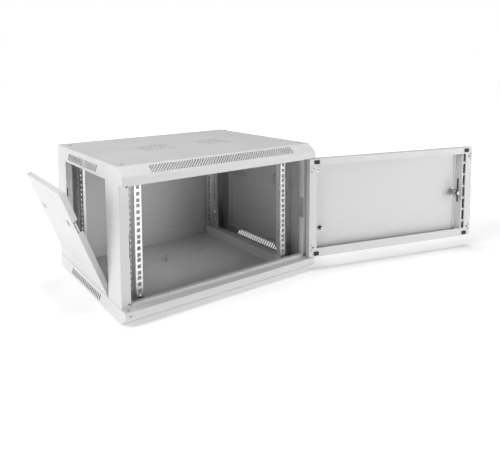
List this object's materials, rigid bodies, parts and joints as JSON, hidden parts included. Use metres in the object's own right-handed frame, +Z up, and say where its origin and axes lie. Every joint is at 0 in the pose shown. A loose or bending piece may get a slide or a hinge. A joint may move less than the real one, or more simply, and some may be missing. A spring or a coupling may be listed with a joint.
{
  "type": "wall-mount server rack cabinet",
  "caption": "Low wall-mount rack cabinet in light grey sheet steel with vented roof and floor, square-hole equipment rails, a hinged metal door and tilting, latched side panels.",
  "frame": {"origin": "centre of the cabinet's underside: middle of its 600 mm width and 450 mm depth, on the plane it stands on", "axes": "+X to the right as seen from the front, along the cabinet's width; -Y out of the front; +Z up"},
  "size_m": [1.262, 0.5994, 0.3698],
  "materials": {
    "grey_paint": "fine-textured light grey powder coat",
    "rail_zinc": "zinc plated, satin",
    "zinc_steel": "zinc plated",
    "grey_plastic": "matte moulded nylon, light grey",
    "black_rubber": "matte",
    "chrome": "polished plate",
    "black_steel": "black passivated"
  },
  "bodies": {
    "cabinet": {"roof_cap": "grey_paint", "floor_tray": "grey_paint", "front_post_left": "grey_paint", "front_post_right": "grey_paint", "rear_post_left": "grey_paint", "rear_post_right": "grey_paint", "front_sill": "grey_paint", "front_header": "grey_paint", "back_panel": "grey_paint", "back_screws": "zinc_steel", "lower_beam_left": "grey_paint", "lower_beam_right": "grey_paint", "upper_beam_left": "grey_paint", "upper_beam_right": "grey_paint", "front_rail_left": "rail_zinc", "front_rail_right": "rail_zinc", "rear_rail_left": "rail_zinc", "rear_rail_right": "rail_zinc", "rail_brackets": "rail_zinc", "rail_bolts": "zinc_steel", "roof_screws": "zinc_steel", "tray_screws": "zinc_steel", "cable_plate": "grey_paint", "cable_plate_screws": "zinc_steel", "ground_stud": "zinc_steel", "ground_nut": "zinc_steel", "hinge_bushes": "grey_plastic"},
    "door": {"door_pan": "grey_paint", "lock_stile": "grey_paint", "door_bumpers": "black_rubber", "upper_hinge_bracket": "zinc_steel", "lower_hinge_bracket": "zinc_steel", "lower_hinge_pin": "zinc_steel", "pin_spring": "zinc_steel", "lock_barrel": "chrome", "lock_nut": "zinc_steel", "door_stud": "zinc_steel", "door_stud_nut": "black_steel"},
    "hinge_pin": {"upper_hinge_pin": "zinc_steel"},
    "cam": {"lock_plug": "chrome", "lock_cam": "black_steel", "cam_screw": "zinc_steel"},
    "left_side": {"left_panel": "grey_paint", "left_front_guide": "grey_plastic", "left_rear_guide": "grey_plastic", "left_front_spring": "zinc_steel", "left_rear_spring": "zinc_steel"},
    "left_front_bolt": {"left_front_latch": "grey_plastic"},
    "left_rear_bolt": {"left_rear_latch": "grey_plastic"},
    "right_side": {"right_panel": "grey_paint", "right_front_guide": "grey_plastic", "right_rear_guide": "grey_plastic", "right_front_spring": "zinc_steel", "right_rear_spring": "zinc_steel"},
    "right_front_bolt": {"right_front_latch": "grey_plastic"},
    "right_rear_bolt": {"right_rear_latch": "grey_plastic"}
  },
  "joints": [
    {"name": "door_hinge", "type": "hinge", "parent": "cabinet", "child": "door", "pos_m": [0.288, -0.215, 0.183], "axis": [0, 0, 1], "range_deg": [-165.3, 16]},
    {"name": "hinge_pin_pull", "type": "slide", "parent": "door", "child": "hinge_pin", "axis": [0, 0, 1], "range_m": [-0.008, 0], "stiffness_N_per_m": 600, "springref_m": 0.005, "deforming": ["pin_spring"]},
    {"name": "lock_turn", "type": "hinge", "parent": "door", "child": "cam", "pos_m": [0.79291, -0.34746, 0.183], "axis": [0.2538, 0.9673, 0], "range_deg": [0, 90]},
    {"name": "left_panel_tilt", "type": "hinge", "parent": "cabinet", "child": "left_side", "pos_m": [-0.298, 0.0174, 0.0401], "axis": [0, -1, 0], "range_deg": [-22.3, 0]},
    {"name": "right_panel_tilt", "type": "hinge", "parent": "cabinet", "child": "right_side", "pos_m": [0.298, 0.0174, 0.0401], "axis": [0, 1, 0], "range_deg": [0, 22.3]},
    {"name": "left_front_latch_pull", "type": "slide", "parent": "left_side", "child": "left_front_bolt", "axis": [0, 1, 0], "range_m": [0, 0.008], "stiffness_N_per_m": 300, "springref_m": -0.006, "deforming": ["left_front_spring"]},
    {"name": "left_rear_latch_pull", "type": "slide", "parent": "left_side", "child": "left_rear_bolt", "axis": [0, -1, 0], "range_m": [0, 0.008], "stiffness_N_per_m": 300, "springref_m": -0.006, "deforming": ["left_rear_spring"]},
    {"name": "right_front_latch_pull", "type": "slide", "parent": "right_side", "child": "right_front_bolt", "axis": [0, 1, 0], "range_m": [0, 0.008], "stiffness_N_per_m": 300, "springref_m": -0.006, "deforming": ["right_front_spring"]},
    {"name": "right_rear_latch_pull", "type": "slide", "parent": "right_side", "child": "right_rear_bolt", "axis": [0, -1, 0], "range_m": [0, 0.008], "stiffness_N_per_m": 300, "springref_m": -0.006, "deforming": ["right_rear_spring"]}
  ]
}
